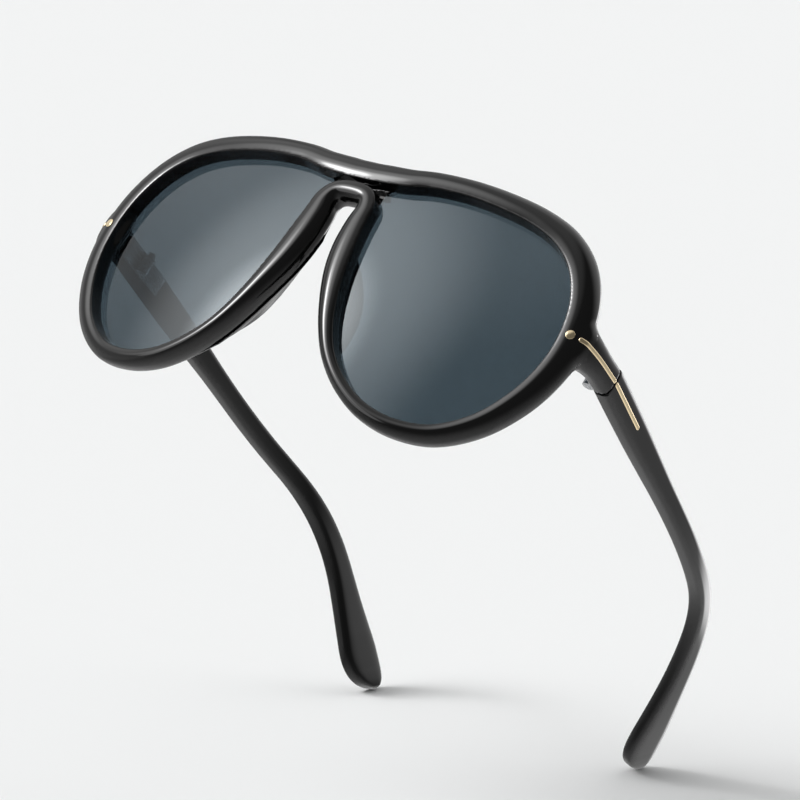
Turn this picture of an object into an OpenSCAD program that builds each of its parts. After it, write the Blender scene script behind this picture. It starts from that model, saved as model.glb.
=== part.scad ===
// Oversized pilot sunglasses with a keyhole bridge, standing open on a table.
// +X is the wearer's left, +Y runs back along the temples and +Z is up.
// The front is bent to a sphere, so its forms are written as x and z on that
// sphere and a height in front of it, and on_front() turns them into space.
// The origin is at the middle of the footprint, on the table.

/* [Lenses] */
// Width of one lens opening
lens_w = 58.2; // [54:0.2:60]
// Height of one lens opening
lens_h = 58.1; // [54:0.2:60]
// Distance between the two lens openings at the nose
bridge_w = 17.4; // [17:0.2:20]
// Radius of the sphere that the front and the lenses are bent to
base_r = 214; // [170:2:260]
// Thickness of a lens
lens_t = 1.9; // [1.6:0.1:2.2]
// How far the lens edge goes into its groove
lens_seat = 0.7; // [0.5:0.05:0.8]
// Depth of the lens behind the middle of the rim
lens_set = 0.25; // [0.1:0.05:0.4]

/* [Rims and bridge] */
// Width of the rim at the brow
rim_w = 6.2; // [5.6:0.1:6.8]
// Height of the rim's crest in front of the sphere
crest_h = 3.2; // [2.8:0.1:3.6]
// Depth of the rim behind the sphere
back_h = 3.2; // [3.0:0.1:3.4]
// Height of the lens tops above the bridge datum
lens_top = 19.5; // [18:0.1:21]
// Dip of the brow bar's underside at the bridge, below the lens tops
brow_dip = 3.05; // [2.5:0.05:3.6]
// Height of the dark groove between the brow bar and the arch
brow_gap = 0.85; // [0.6:0.05:1.2]
// Depth of the web between brow bar and arch, behind the crest
web_set = 3.0; // [2.6:0.1:3.2]

/* [Nose pads] */
// How far a pad stands back behind the rim
pad_d = 5.8; // [4:0.1:6.5]
// Width of a pad's rear edge
pad_w = 2.8; // [2.2:0.1:3.2]
// Depth of the pocket that a pad is glued into
pad_seat = 0.5; // [0.3:0.05:0.7]

/* [End pieces] */
// How far the outer faces at the hinges stand out beyond the rims
face_out = 2.1; // [1.6:0.1:2.6]
// Length of an end piece from its front corner to the joint
end_l = 18.08; // [16.5:0.02:20]
// Height of the hinge joints below the bridge datum
joint_drop = 5.2; // [4.5:0.1:6]

/* [Temples] */
// Height of a temple at its joint
temple_h = 7.9; // [7.4:0.1:8.4]
// Thickness of a temple at its joint
temple_t = 5.0; // [4.6:0.1:5.4]
// Length of a temple along its centre line
temple_l = 146; // [138:0.2:152]
// Height of a temple in front of its ear bend
slim_h = 5.2; // [4.6:0.1:6]
// Height of the paddle near its end
paddle_h = 12.9; // [11:0.1:13.5]
// Thickness of the paddle
paddle_t = 4.2; // [3.6:0.1:4.4]
// Angle that a temple closes in at its joint
toe_in_angle = 3.5; // [3:0.1:4.5]
// Angle that the ear piece points in
ear_in_angle = 32.8; // [28:0.2:34]
// Angle that the ear piece points down, before its tip is set to the table
ear_down_angle = 43; // [40:0.5:46]
// How far the temple tips reach below the rims
tip_drop = 1.5; // [0.5:0.1:2.5]
// Gap between a temple's face and its end piece
joint_gap = 0.2; // [0.16:0.02:0.3]
// Diameter of the wire core inside a temple
wire_d = 1.4; // [1.2:0.1:1.6]

/* [Hinges] */
// Radius of a hinge knuckle
knuckle_r = 1.5; // [1.4:0.05:1.6]
// Height of the stack of five knuckles
hinge_h = 5.5; // [5:0.1:6]
// Radius of the hinge screw
screw_r = 0.7; // [0.6:0.02:0.75]
// Running clearance of the screw in the temple's knuckles
screw_clear = 0.04; // [0.03:0.01:0.06]
// Gap between one knuckle and the next
knuckle_gap = 0.1; // [0.08:0.01:0.14]
// Thickness of a hinge leaf
leaf_t = 1.2; // [1.1:0.05:1.3]
// Length of the leaf on the end piece
front_leaf_l = 6.4; // [5.5:0.1:7]
// Length of the leaf on the temple
temple_leaf_l = 8.5; // [7.5:0.1:9.5]

/* [Trim] */
// Height of the metal strip
strip_h = 1.2; // [1:0.05:1.4]
// Thickness of the metal strip
strip_t = 0.6; // [0.5:0.05:0.8]
// How far trim stands out of the surface
strip_proud = 0.12; // [0.05:0.01:0.2]
// Length of the strip along the temple
strip_l = 18; // [15:0.5:22]
// Radius of the rivet head on the front
rivet_r = 1.15; // [1:0.05:1.3]
// Length of the rivet's shank
rivet_l = 2.6; // [2:0.1:3]

/* [Fits] */
// Clearance of a lens in its groove
lens_clear = 0.05; // [0.03:0.01:0.08]
// Clearance round every piece that is set into the plastic
set_clear = 0.03; // [0.02:0.01:0.05]

/* [Hidden] */

gloss_black = "#121315";
smoke = "#3c4a57";
gold = "#d9b36a";
nickel = "#b9bbbd";
over = 0.5; // overrun of every cut
left = 1;
right = -1;

// Point at x and z on the front's sphere, standing h in front of it
function on_front(x, z, h) =
    let (deep = sqrt(base_r * base_r - x * x - z * z), k = (base_r + h) / base_r)
    [x * k, base_r - deep * k, z * k];

// Catmull-Rom value between b and c at share t, and its slope
function flow(a, b, c, d, t) =
    b + t * ((c - a) / 2 + t * (a - 2.5 * b + 2 * c - d / 2 + t * (1.5 * b - 1.5 * c + (d - a) / 2)));
function flow_slope(a, b, c, d, t) =
    (c - a) / 2 + t * (2 * a - 5 * b + 4 * c - d + t * (4.5 * b - 4.5 * c + 1.5 * (d - a)));
function unit(v) = v / norm(v);
function mirrored(p) = [-p[0], p[1], p[2]];

// Solid through a list of convex rings, each joined to the next
module skin(rings) {
    for (i = [0:len(rings) - 2])
        hull()
            polyhedron(points = concat(rings[i], rings[i + 1]),
                       faces = [[for (j = [0:2 * len(rings[i]) - 1]) j]]);
}

// Right-hand piece as the mirror image of the left-hand one
module side(s) {
    if (s == right) mirror([1, 0, 0]) children();
    else children();
}

// Edge of the rim that faces the lens: x from the nose edge as a share of the lens width,
// drop from the lens top as a share of the lens height, and rim width as a share of rim_w
lens_shares = [
    [0.065, 0.036, 1.00], [0.194, 0.010, 0.93], [0.366, 0, 0.93], [0.538, 0.010, 0.97],
    [0.684, 0.033, 1.01], [0.804, 0.079, 1.06], [0.904, 0.165, 1.08], [0.973, 0.293, 1.07],
    [1, 0.448, 1.02], [0.986, 0.594, 0.95], [0.933, 0.738, 0.87], [0.838, 0.874, 0.78],
    [0.701, 0.971, 0.71], [0.546, 1, 0.66], [0.400, 0.978, 0.63], [0.275, 0.912, 0.62],
    [0.177, 0.818, 0.65], [0.112, 0.706, 0.75], [0.069, 0.585, 0.92], [0.040, 0.465, 1.10],
    [0.022, 0.353, 1.16], [0.009, 0.250, 1.07], [0, 0.164, 0.95]];
brow_low = lens_top - brow_dip;
arch_top = brow_low - brow_gap;
half_bridge = bridge_w / 2;
brow_share = 1.07;        // width of the brow bar over the bridge
arch_share = 0.79;        // width of the arch over the nose
shoulder_share = [0.80, 0.48]; // x of the arch's shoulder points, of half the bridge
shoulder_drop_share = [0.26, 0.06]; // their drop below the arch top, of half the bridge
brow_rows = [[0, brow_low, brow_share], [half_bridge / 2, brow_low + brow_dip * 0.02, brow_share]];
lens_rows = [for (s = lens_shares)
    [half_bridge + s[0] * lens_w, lens_top - s[1] * lens_h, s[2]]];
arch_rows = [
    [half_bridge * shoulder_share[0], arch_top - half_bridge * shoulder_drop_share[0], 0.86],
    [half_bridge * shoulder_share[1], arch_top - half_bridge * shoulder_drop_share[1], arch_share],
    [0, arch_top, arch_share]];
rows = concat(brow_rows, lens_rows, arch_rows);
row_count = len(rows);
function row(i) = i < 0 ? mirrored(rows[-i])
    : i >= row_count ? mirrored(rows[2 * row_count - 2 - i]) : rows[i];

// Stations along the edge, each with its point, the direction away from the lens and the rim width
steps = 2; // stations for each control row
station_count = (row_count - 1) * steps + 1;
function edge_at(u) =
    let (i = min(floor(u), row_count - 2), t = u - i,
         a = row(i - 1), b = row(i), c = row(i + 1), d = row(i + 2),
         p = flow(a, b, c, d, t), v = flow_slope(a, b, c, d, t), n = unit([-v[1], v[0]]))
    [[p[0], p[1]], n, p[2] * rim_w];
stations = [for (k = [0:station_count - 1]) edge_at(k / steps)];
function at_edge(s, n, h) = on_front(s[0][0] + s[1][0] * n, s[0][1] + s[1][1] * n, h);

// Section of the rim: n away from the lens edge and h in front of the sphere
crest_share = 0.42;       // place of the crest across the rim
edge_h_share = 0.80;      // height of the lens-side edge, of the crest
function rim_ring(s) =
    let (w = s[2], c = w * crest_share)
    concat(
        [at_edge(s, 0, crest_h * edge_h_share), at_edge(s, c * 0.12, crest_h * 0.91),
         at_edge(s, c * 0.45, crest_h * 0.98)],
        [for (a = [0:18:90]) at_edge(s, c + (w - c) * sin(a), crest_h * pow(cos(a), 0.9))],
        [at_edge(s, w * 0.96, -back_h * 0.45), at_edge(s, w * 0.84, -back_h * 0.80),
         at_edge(s, w * 0.62, -back_h), at_edge(s, w * 0.12, -back_h), at_edge(s, 0, -back_h * 0.88)]);
rim_rings = [for (s = stations) rim_ring(s)];
front_low = min([for (r = rim_rings) for (p = r) p[2]]);
front_fore = min([for (r = rim_rings) for (p = r) p[1]]);

// Outline of a lens opening, grown by g: points midway between the stations round the lens,
// and the corner at the bridge
lens_first = 2 * steps - 1;
lens_last = station_count - 1 - 3 * steps + 1;
corner_share = 0.96;      // x of the corner between brow bar and arch, of half the bridge
corner_pt = [half_bridge * corner_share, (brow_low + arch_top) / 2 - brow_gap];
function opening(g) = concat(
    [for (k = [lens_first:lens_last - 1]) let (s = edge_at((k + 0.5) / steps)) s[0] + s[1] * g],
    [corner_pt + g * unit([-1, 0.3])]);

// Closed solid over an outline, between two heights, following the sphere from the outline
// to a second one inside it and closed by flat fans from there
module bent_plate(outline, inner, low, high) {
    n = len(outline);
    middle = [half_bridge + lens_w / 2, lens_top - lens_h / 2];
    rims = [for (h = [low, high]) for (o = [outline, inner]) for (p = o) on_front(p[0], p[1], h)];
    polyhedron(
        points = concat(rims, [on_front(middle[0], middle[1], low), on_front(middle[0], middle[1], high)]),
        faces = [for (i = [0:n - 1]) let (j = (i + 1) % n) each [
            [i, j, 2 * n + j, 2 * n + i], [j, i, n + i, n + j], [n + j, n + i, 4 * n],
            [2 * n + i, 2 * n + j, 3 * n + j, 3 * n + i], [3 * n + i, 3 * n + j, 4 * n + 1]]]);
}

// Cone from the sphere's centre through an outline, far enough to hold a lens
module sight_cone(outline) {
    n = len(outline);
    far = [for (p = outline) on_front(p[0], p[1], crest_h)];
    polyhedron(
        points = concat([[0, base_r, 0]], far, [on_front(half_bridge + lens_w / 2, lens_top - lens_h / 2, crest_h)]),
        faces = concat(
            [for (i = [0:n - 1]) [0, 1 + (i + 1) % n, 1 + i]],
            [for (i = [0:n - 1]) [n + 1, 1 + i, 1 + (i + 1) % n]]));
}

module lens(s) {
    color(smoke, 0.55) place() side(s) intersection() {
        sight_cone(opening(lens_seat));
        translate([0, base_r, 0]) difference() {
            sphere(r = base_r - lens_set, $fn = 240);
            sphere(r = base_r - lens_set - lens_t, $fn = 240);
        }
    }
}

// Web in the recess between brow bar and arch, open where the lenses are
web_reach_share = 1.1;    // half width of the web, of half the bridge
web_wall = 0.4;           // how far the web stays inside the rim's back
module web() {
    front_h = crest_h - web_set;
    deep = back_h - web_wall;
    difference() {
        translate([-half_bridge * web_reach_share, -front_h, arch_top - rim_w / 2])
            cube([half_bridge * web_reach_share * 2, front_h + deep, brow_gap + rim_w]);
        for (s = [left, right]) side(s) sight_cone(opening(lens_seat / 2));
    }
}

// Point of a rounded-box section at angle a, with half sizes of 1
round_share = 0.66;       // 2 over the power of the section's curve
function soft(a) = [sign(cos(a)) * pow(abs(cos(a)), round_share), sign(sin(a)) * pow(abs(sin(a)), round_share)];
ring_angles = [for (a = [0:22.5:359]) a];

// End piece: depth from its front to the joint, distances in from the outer face
// to its outer and inner side as shares of temple_t, and half height as a share of temple_h
end_shares = [[0, 0.80, 1.62, 0.30], [0.05, 0.52, 1.70, 0.50], [0.13, 0.27, 1.78, 0.66],
              [0.26, 0.13, 1.78, 0.70], [0.40, 0.05, 1.42, 0.62], [0.54, 0.01, 1.12, 0.55],
              [0.72, 0, 1, 0.51], [1, 0, 1, 0.5]];
outer_x = half_bridge + lens_w + rim_w + face_out;
fore_share = 1.15;        // place of the front corner, in from the outer face, of temple_t
fore_y = on_front(outer_x - temple_t * fore_share, joint_drop, crest_h)[1];
joint_y = fore_y + end_l + joint_gap / 2;
function end_ring(e) =
    let (x1 = outer_x - e[1] * temple_t, x0 = outer_x - e[2] * temple_t, y = fore_y + e[0] * end_l)
    [for (a = ring_angles) let (q = soft(a))
        [(x0 + x1) / 2 + q[0] * (x1 - x0) / 2, y, -joint_drop + q[1] * e[3] * temple_h]];

// Centre line of a temple, by distance s from its joint: both angles of its heading
// change smoothly between two distances, given as shares of its length
fall_angle = 3.6;         // angle that the straight part falls to the back
turn_in_share = [0.314, 0.917];
turn_down_share = [0.534, 0.834];
tip_turn_share = [0.56, 0.806]; // where the section leans back into the ear piece's plane
function ease(t) = let (u = max(0, min(1, t))) u * u * (3 - 2 * u);
function turned(s, span) = ease((s / temple_l - span[0]) / (span[1] - span[0]));
function heading(s) =
    let (a = toe_in_angle + (ear_in_angle - toe_in_angle) * turned(s, turn_in_share),
         b = fall_angle + (ear_down_angle - fall_angle) * turned(s, turn_down_share))
    [-sin(a) * cos(b), cos(a) * cos(b), -sin(b)];
// Places of the sections with half height as a share between slim and full, thickness as a
// share of the way to paddle_t, and lift of the section's middle, in the paddle's half height
temple_shares = [
    [0.03, 1.00, 0.02, 0], [0.08, 0.95, 0.08, 0], [0.15, 0.82, 0.20, 0], [0.23, 0.48, 0.32, 0],
    [0.30, 0.16, 0.42, 0], [0.37, 0.02, 0.48, 0], [0.44, 0, 0.52, 0], [0.50, 0, 0.58, 0],
    [0.555, 0, 0.66, 0], [0.60, 0.02, 0.74, 0], [0.64, 0.07, 0.80, 0], [0.68, 0.13, 0.85, 0],
    [0.72, 0.20, 0.90, 0], [0.76, 0.27, 0.94, 0], [0.80, 0.36, 0.97, 0], [0.84, 0.52, 1, 0],
    [0.89, 0.78, 1, 0], [0.935, 1, 1, 0], [0.958, 0.94, 1.05, 0.05], [0.975, 0.72, 1.20, 0.15],
    [0.988, 0.34, 1.60, 0.28], [0.996, -0.14, 2.30, 0.40], [1, -0.44, 3.10, 0.46]];
temple_s = concat([0], [for (e = temple_shares) e[0] * temple_l]);
joint_pt = [outer_x - temple_t / 2, joint_y + joint_gap / 2, -joint_drop];
raw_line = [for (i = 0, p = joint_pt; i < len(temple_s);
                 p = p + heading((temple_s[i] + temple_s[min(i + 1, len(temple_s) - 1)]) / 2)
                     * (temple_s[min(i + 1, len(temple_s) - 1)] - temple_s[i]), i = i + 1) p];
function lean(s) = [0, 0.1 + turned(s, tip_turn_share), 1];
function frame_of(s) = let (t = heading(s), r = lean(s), w = unit(r - t * (r * t))) [cross(t, w), w];
function section(e, s) = let (f = frame_of(s),
    h0 = e[0] < 0.5 ? temple_h : paddle_h,
    half_h = (slim_h + (h0 - slim_h) * e[1]) / 2, half_t = (temple_t + (paddle_t - temple_t) * e[2]) / 2)
    [for (a = ring_angles) let (r = soft(a)) f[0] * r[0] * half_t + f[1] * (r[1] * half_h + e[3] * paddle_h / 2)];
temple_sections = [for (i = [1:len(temple_s) - 1]) section(temple_shares[i - 1], temple_s[i])];
// The fall of the centre line is scaled so that the tip just meets the table
table_low = front_low - tip_drop;
table_k = min([for (i = [1:len(temple_s) - 1]) if (temple_s[i] > temple_l * 0.8)
    for (p = temple_sections[i - 1]) (table_low + joint_drop - p[2]) / (raw_line[i][2] + joint_drop)]);
temple_line = [for (p = raw_line) [p[0], p[1], (p[2] + joint_drop) * table_k - joint_drop]];
joint_ring = [for (a = ring_angles) let (r = soft(a)) joint_pt + [r[0] * temple_t / 2, 0, r[1] * temple_h / 2]];
temple_rings = concat([joint_ring], [for (i = [1:len(temple_s) - 1])
    [for (p = temple_sections[i - 1]) temple_line[i] + p]]);
temple_aft = max([for (r = temple_rings) for (p = r) p[1]]);
mid_y = (front_fore + temple_aft) / 2;
module place() {
    translate([0, -mid_y, -table_low]) children();
}

// Hinge: axis on the joint plane, just inside the temple's inner face
wall_gap = 0.1;           // gap between a knuckle and the face beside it
leaf_sink = 0.5;          // how far a leaf is let into the face
inner_x = outer_x - temple_t;
axis_x = inner_x - knuckle_r - wall_gap;
knuckles = 5;
knuckle_h = (hinge_h - (knuckles - 1) * knuckle_gap) / knuckles;
hinge_low = -joint_drop - hinge_h / 2;
leaf_h = hinge_h - 2 * knuckle_gap;
leaf_start = knuckle_r + knuckle_gap;
foot_l = 3;               // length of the anchor foot behind a leaf
foot_h = 3;               // height of the anchor foot
foot_at = 2.6;            // distance of the foot from the near end of its leaf
foot_reach = temple_t / 2 + wire_d / 2;
function knuckle_z(i) = hinge_low + i * (knuckle_h + knuckle_gap);

// Plate and foot of a leaf that runs along +Y from the axis, grown by g
module leaf_body(length, g) {
    translate([inner_x + leaf_sink - leaf_t - g, leaf_start - g, -joint_drop - leaf_h / 2 - g])
        cube([leaf_t + 2 * g, length + 2 * g, leaf_h + 2 * g]);
    translate([inner_x, leaf_start + foot_at - g, -joint_drop - foot_h / 2 - g])
        cube([foot_reach + g, foot_l + 2 * g, foot_h + 2 * g]);
}

// Knuckle number i with the tab that ties it to its leaf
module knuckle(i) {
    translate([axis_x, 0, knuckle_z(i)]) cylinder(r = knuckle_r, h = knuckle_h, $fn = 48);
    translate([inner_x + leaf_sink - leaf_t, 0, knuckle_z(i)])
        cube([axis_x + knuckle_r - inner_x - leaf_sink + leaf_t, leaf_start + set_clear + knuckle_gap, knuckle_h]);
}

module hinge_half(length, first, bore_r) {
    difference() {
        union() {
            leaf_body(length, 0);
            for (i = [first:2:knuckles - 1]) knuckle(i);
        }
        translate([axis_x, 0, hinge_low - over]) cylinder(r = bore_r, h = hinge_h + 2 * over, $fn = 48);
    }
}
module to_joint(turned) {
    translate([0, joint_y, 0]) if (turned) mirror([0, 1, 0]) children(); else children();
}

// Rivet on the rim's crest beside the lens, pointing forward along the sphere's radius
rivet_x = half_bridge + lens_w + rim_w * crest_share;
rivet_sink = 0.25;        // how far the head is let into the crest
rivet_shank_share = 0.55; // radius of the shank, of the head
module at_rivet() {
    deep = sqrt(base_r * base_r - rivet_x * rivet_x - joint_drop * joint_drop);
    translate(on_front(rivet_x, -joint_drop, crest_h - rivet_sink))
        rotate([0, 0, atan2(rivet_x, deep)]) rotate([90 + asin(joint_drop / base_r), 0, 0]) children();
}
module rivet_body(g) {
    head_h = rivet_sink + strip_proud;
    translate([0, 0, -rivet_l - g]) cylinder(r = rivet_r * rivet_shank_share + g, h = rivet_l + g + over / 2, $fn = 32);
    if (g > 0)
        cylinder(r = rivet_r + g, h = head_h + 2 * over, $fn = 32);
    else
        rotate_extrude($fn = 48) intersection() {
            square([rivet_r, head_h + rivet_sink]);
            translate([0, head_h + rivet_sink - rivet_r * 3]) circle(r = rivet_r * 3, $fn = 96);
        }
}

// Path of the strip in plan along an end piece, with the way out of the surface; it is
// carried past the joint when it is used as a cutter
end_side = [for (e = end_shares) [outer_x - e[1] * temple_t, fore_y + e[0] * end_l]];
strip_first = 1;          // the strip begins after this section of the end piece
strip_line = concat([for (i = [strip_first:len(end_side) - 2]) (end_side[i] + end_side[i + 1]) / 2],
                    [end_side[len(end_side) - 1]]);
function way_out(i) = let (d = unit(end_side[i + 1] - end_side[i])) [d[1], -d[0]];
function strip_ring(p, out, up, g) = // section between strip_t deep and strip_proud out
    let (h = strip_h / 2 + g, low = strip_proud - strip_t - g, high = strip_proud + (g > 0 ? over : 0))
    [p + out * low - up * h, p + out * high - up * h, p + out * high + up * h, p + out * low + up * h];
function end_strip_rings(g) = [for (i = [0:len(strip_line) - 1])
    let (p = strip_line[i], last = i == len(strip_line) - 1, o = last ? [1, 0] : way_out(i + strip_first),
         fore = i == 0 ? -g : last && g > 0 ? over : 0)
    strip_ring([p[0] - o[1] * fore, p[1] + o[0] * fore, -joint_drop], [o[0], o[1], 0], [0, 0, 1], g)];
function temple_strip_rings(g) = [for (s = [g > 0 ? -over : 0, strip_l + g])
    let (f = s > 0 ? frame_of(s) : [[1, 0, 0], [0, 0, 1]],
         thin = s > 0 ? (temple_t - paddle_t) * strip_thin_share / 2 : 0,
         c = s > 0 ? joint_pt + heading(s / 2) * s : joint_pt + [0, s, 0])
    strip_ring(c + f[0] * (temple_t / 2 - thin), f[0], f[1], g)];
strip_thin_share = 0.17;  // the temple's thinning at the strip's end, of its whole thinning

// Glued nose pad along the rim's edge, swelling backwards between its two ends
pad_rows = [18.6, 21.3];  // its ends, counted in the rows of lens_shares and the brow rows
pad_parts = 10;           // sections from end to end
seat_h = -back_h + pad_seat; // floor of the pocket; the pad stays clear of it for the glue
pad_a_share = 0.10;       // lens side of the seat, across the rim
pad_b_share = 0.80;       // nose side of the seat, across the rim
function pad_station(k) = edge_at(pad_rows[0] + (pad_rows[1] - pad_rows[0]) * k / pad_parts);
function pad_ring(k) =
    let (s = pad_station(k), w = s[2], swell = pow(sin(4 + 172 * k / pad_parts), 0.7),
         a = w * pad_a_share, b = w * pad_b_share, rear = seat_h - pad_d * swell,
         rb = b - (b - pad_w * 0.2) * swell, ra = rb - (b - a) + (b - a - pad_w) * swell,
         mid = (seat_h + rear) / 2, lip = pad_w * 0.3 * swell)
    [at_edge(s, a, seat_h - set_clear), at_edge(s, b, seat_h - set_clear),
     at_edge(s, (b + rb) / 2 + lip * 0.6, mid),
     at_edge(s, rb + lip * 0.4, rear + lip * 1.3), at_edge(s, rb - lip * 0.4, rear + lip * 0.3),
     at_edge(s, (ra + rb) / 2, rear), at_edge(s, ra + lip * 0.4, rear + lip * 0.3),
     at_edge(s, ra, rear + lip * 1.3), at_edge(s, (a + ra) / 2, mid)];
function pocket_ring(k) =
    let (s = pad_station(k), a = at_edge(s, s[2] * pad_a_share, seat_h), b = at_edge(s, s[2] * pad_b_share, seat_h),
         wide = unit(b - a) * rim_w / 2, deep = at_edge(s, 0, -back_h - over) - at_edge(s, 0, seat_h))
    [a - wide, b + wide, b + wide + deep, a - wide + deep];

module front_solid() {
    for (s = [left, right]) side(s) {
        skin([for (i = [1:station_count - 2]) rim_rings[i]]);
        skin([for (e = end_shares) end_ring(e)]);
    }
    for (i = [1, station_count - 2]) skin([rim_rings[i], [for (p = rim_rings[i]) mirrored(p)]]);
    web();
}
module front_cuts() {
    skin([for (k = [0:pad_parts]) pocket_ring(k)]);
    skin(end_strip_rings(set_clear));
    to_joint(true) leaf_body(front_leaf_l, set_clear);
    at_rivet() rivet_body(set_clear);
    bent_plate(opening(lens_seat + lens_clear), opening(-lens_clear * 4),
               -lens_set - lens_t - lens_clear, -lens_set + lens_clear);
}
module front_frame() {
    color(gloss_black) place() difference() {
        front_solid();
        for (s = [left, right]) side(s) front_cuts();
    }
}
module nose_pad(s) {
    color(gloss_black) place() side(s) skin([for (k = [0:pad_parts]) pad_ring(k)]);
}
module rivet(s) {
    color(gold) place() side(s) at_rivet() rivet_body(0);
}
module endpiece_strip(s) {
    color(gold) place() side(s) skin(end_strip_rings(0));
}
module front_hinge(s) {
    color(nickel) place() side(s) to_joint(true) hinge_half(front_leaf_l, 0, screw_r + set_clear);
}
module temple_hinge(s) {
    color(nickel) place() side(s) to_joint(false) hinge_half(temple_leaf_l, 1, screw_r + screw_clear);
}
head_share = 0.8;         // radius of the screw head, of the knuckle
head_t = 0.6;             // thickness of the screw head
slot_w = 0.35;            // width of the screwdriver slot
slot_d = 0.3;             // depth of the slot
module hinge_screw(s) {
    color(nickel) place() side(s) translate([axis_x, joint_y, hinge_low]) difference() {
        union() {
            cylinder(r = screw_r, h = hinge_h + head_t / 2, $fn = 48);
            translate([0, 0, hinge_h + set_clear]) cylinder(r = knuckle_r * head_share, h = head_t, $fn = 48);
        }
        translate([-knuckle_r, -slot_w / 2, hinge_h + set_clear + head_t - slot_d])
            cube([2 * knuckle_r, slot_w, slot_d + over]);
    }
}

// Wire core from behind the hinge's foot to inside the paddle
wire_angles = [22.5:45:359];
wire_from = leaf_start + foot_at + foot_l; // the far side of the foot, from the joint
wire_last_share = 0.9;
function wire_ring(c, s, r) = let (f = frame_of(s))
    [for (a = wire_angles) c + f[0] * r * cos(a) + f[1] * r * sin(a)];
module wire(g) {
    r = wire_d / 2 + g;
    near = wire_from + (g > 0 ? -foot_l / 2 : joint_gap);
    skin(concat([wire_ring(joint_pt + heading(near) * near, near, r)],
        [for (i = [2:len(temple_s) - 1]) if (temple_s[i] > near && temple_s[i] < temple_l * wire_last_share)
            wire_ring(temple_line[i], temple_s[i], r)]));
}
module core_wire(s) {
    color(nickel) place() side(s) wire(0);
}
module temple(s) {
    color(gloss_black) place() side(s) difference() {
        skin(temple_rings);
        wire(set_clear);
        skin(temple_strip_rings(set_clear));
        to_joint(false) leaf_body(temple_leaf_l, set_clear);
    }
}
module temple_strip(s) {
    color(gold) place() side(s) skin(temple_strip_rings(0));
}

front_frame();
lens(left);  // lens_left
lens(right);  // lens_right
nose_pad(left);  // nose_pad_left
nose_pad(right);  // nose_pad_right
rivet(left);  // rivet_left
rivet(right);  // rivet_right
endpiece_strip(left);  // endpiece_strip_left
endpiece_strip(right);  // endpiece_strip_right
front_hinge(left);  // front_hinge_left
front_hinge(right);  // front_hinge_right
hinge_screw(left);  // hinge_screw_left
hinge_screw(right);  // hinge_screw_right
temple(left);  // temple_left
temple(right);  // temple_right
temple_hinge(left);  // temple_hinge_left
temple_hinge(right);  // temple_hinge_right
temple_strip(left);  // temple_strip_left
temple_strip(right);  // temple_strip_right
core_wire(left);  // core_wire_left
core_wire(right);  // core_wire_right
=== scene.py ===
import math
import bmesh
import bpy
import numpy as np
from mathutils import Matrix, Vector


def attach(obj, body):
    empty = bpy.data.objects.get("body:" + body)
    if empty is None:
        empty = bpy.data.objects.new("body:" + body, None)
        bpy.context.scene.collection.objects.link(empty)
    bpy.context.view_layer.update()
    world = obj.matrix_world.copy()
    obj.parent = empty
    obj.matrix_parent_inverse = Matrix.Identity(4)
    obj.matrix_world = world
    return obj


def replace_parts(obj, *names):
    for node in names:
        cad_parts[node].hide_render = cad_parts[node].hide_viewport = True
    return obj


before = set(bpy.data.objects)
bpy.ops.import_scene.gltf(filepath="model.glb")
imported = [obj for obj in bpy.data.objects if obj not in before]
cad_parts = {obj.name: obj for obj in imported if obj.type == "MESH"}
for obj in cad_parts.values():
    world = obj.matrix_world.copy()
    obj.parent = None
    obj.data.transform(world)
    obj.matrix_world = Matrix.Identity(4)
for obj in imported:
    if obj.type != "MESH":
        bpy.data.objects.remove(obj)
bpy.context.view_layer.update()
mm = 0.001
sides = {"left": 1, "right": -1}  # the wearer's left is +X
place = {"midY": 77.776, "lowZ": 44.296}  # from the bridge datum to the row's origin, mm
print("frame loaded:", len(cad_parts), "nodes")


def toRow(points):  # millimetres from the bridge datum to metres in the row
    return (np.asarray(points, float) + [0, -place["midY"], place["lowZ"]]) * mm


# shapes shared with the CAD source
front = {
    "lensW": 58.2, "lensH": 58.1, "bridgeW": 17.4, "baseR": 214.0, "lensT": 1.9, "lensSet": 0.25,
    "rimW": 6.2, "crestH": 3.2, "backH": 3.2, "lensTop": 19.5, "browDip": 3.05, "browGap": 0.85,
    "crestShare": 0.42, "browShare": 1.07, "archShare": 0.79,
    "edgeRound": 0.32, "backRound": 0.5, "blend": 1.3, "trim": 0.04, "edgeDrop": 0.17, "edgeDropMost": 1.3,
    "crestPowers": (2, 2.2, 2.1), "backPower": 2.6, "steep": 3.3,
    "flareFrom": 1.9, "flareShare": 0.38, "flareRound": 0.4, "flareRows": (1.2, 2.2, 23.4, 24.4),
}
halfBridge = front["bridgeW"] / 2
browLow = front["lensTop"] - front["browDip"]
archTop = browLow - front["browGap"]
lensShares = [  # across and down the lens opening, and the rim's width, each as a share
    (0.065, 0.036, 1.00), (0.194, 0.010, 0.93), (0.366, 0, 0.93), (0.538, 0.010, 0.97),
    (0.684, 0.033, 1.01), (0.804, 0.079, 1.06), (0.904, 0.165, 1.08), (0.973, 0.293, 1.07),
    (1, 0.448, 1.02), (0.986, 0.594, 0.95), (0.933, 0.738, 0.87), (0.838, 0.874, 0.78),
    (0.701, 0.971, 0.71), (0.546, 1, 0.66), (0.400, 0.978, 0.63), (0.275, 0.912, 0.62),
    (0.177, 0.818, 0.65), (0.112, 0.706, 0.75), (0.069, 0.585, 0.92), (0.040, 0.465, 1.10),
    (0.022, 0.353, 1.16), (0.009, 0.250, 1.07), (0, 0.164, 0.95)]
browShares = [(0, 0, front["browShare"]), (0.5, 0.02, front["browShare"])]
archShares = [(0.80, 0.26, 0.86), (0.48, 0.06, front["archShare"]), (0, 0, front["archShare"])]
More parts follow.
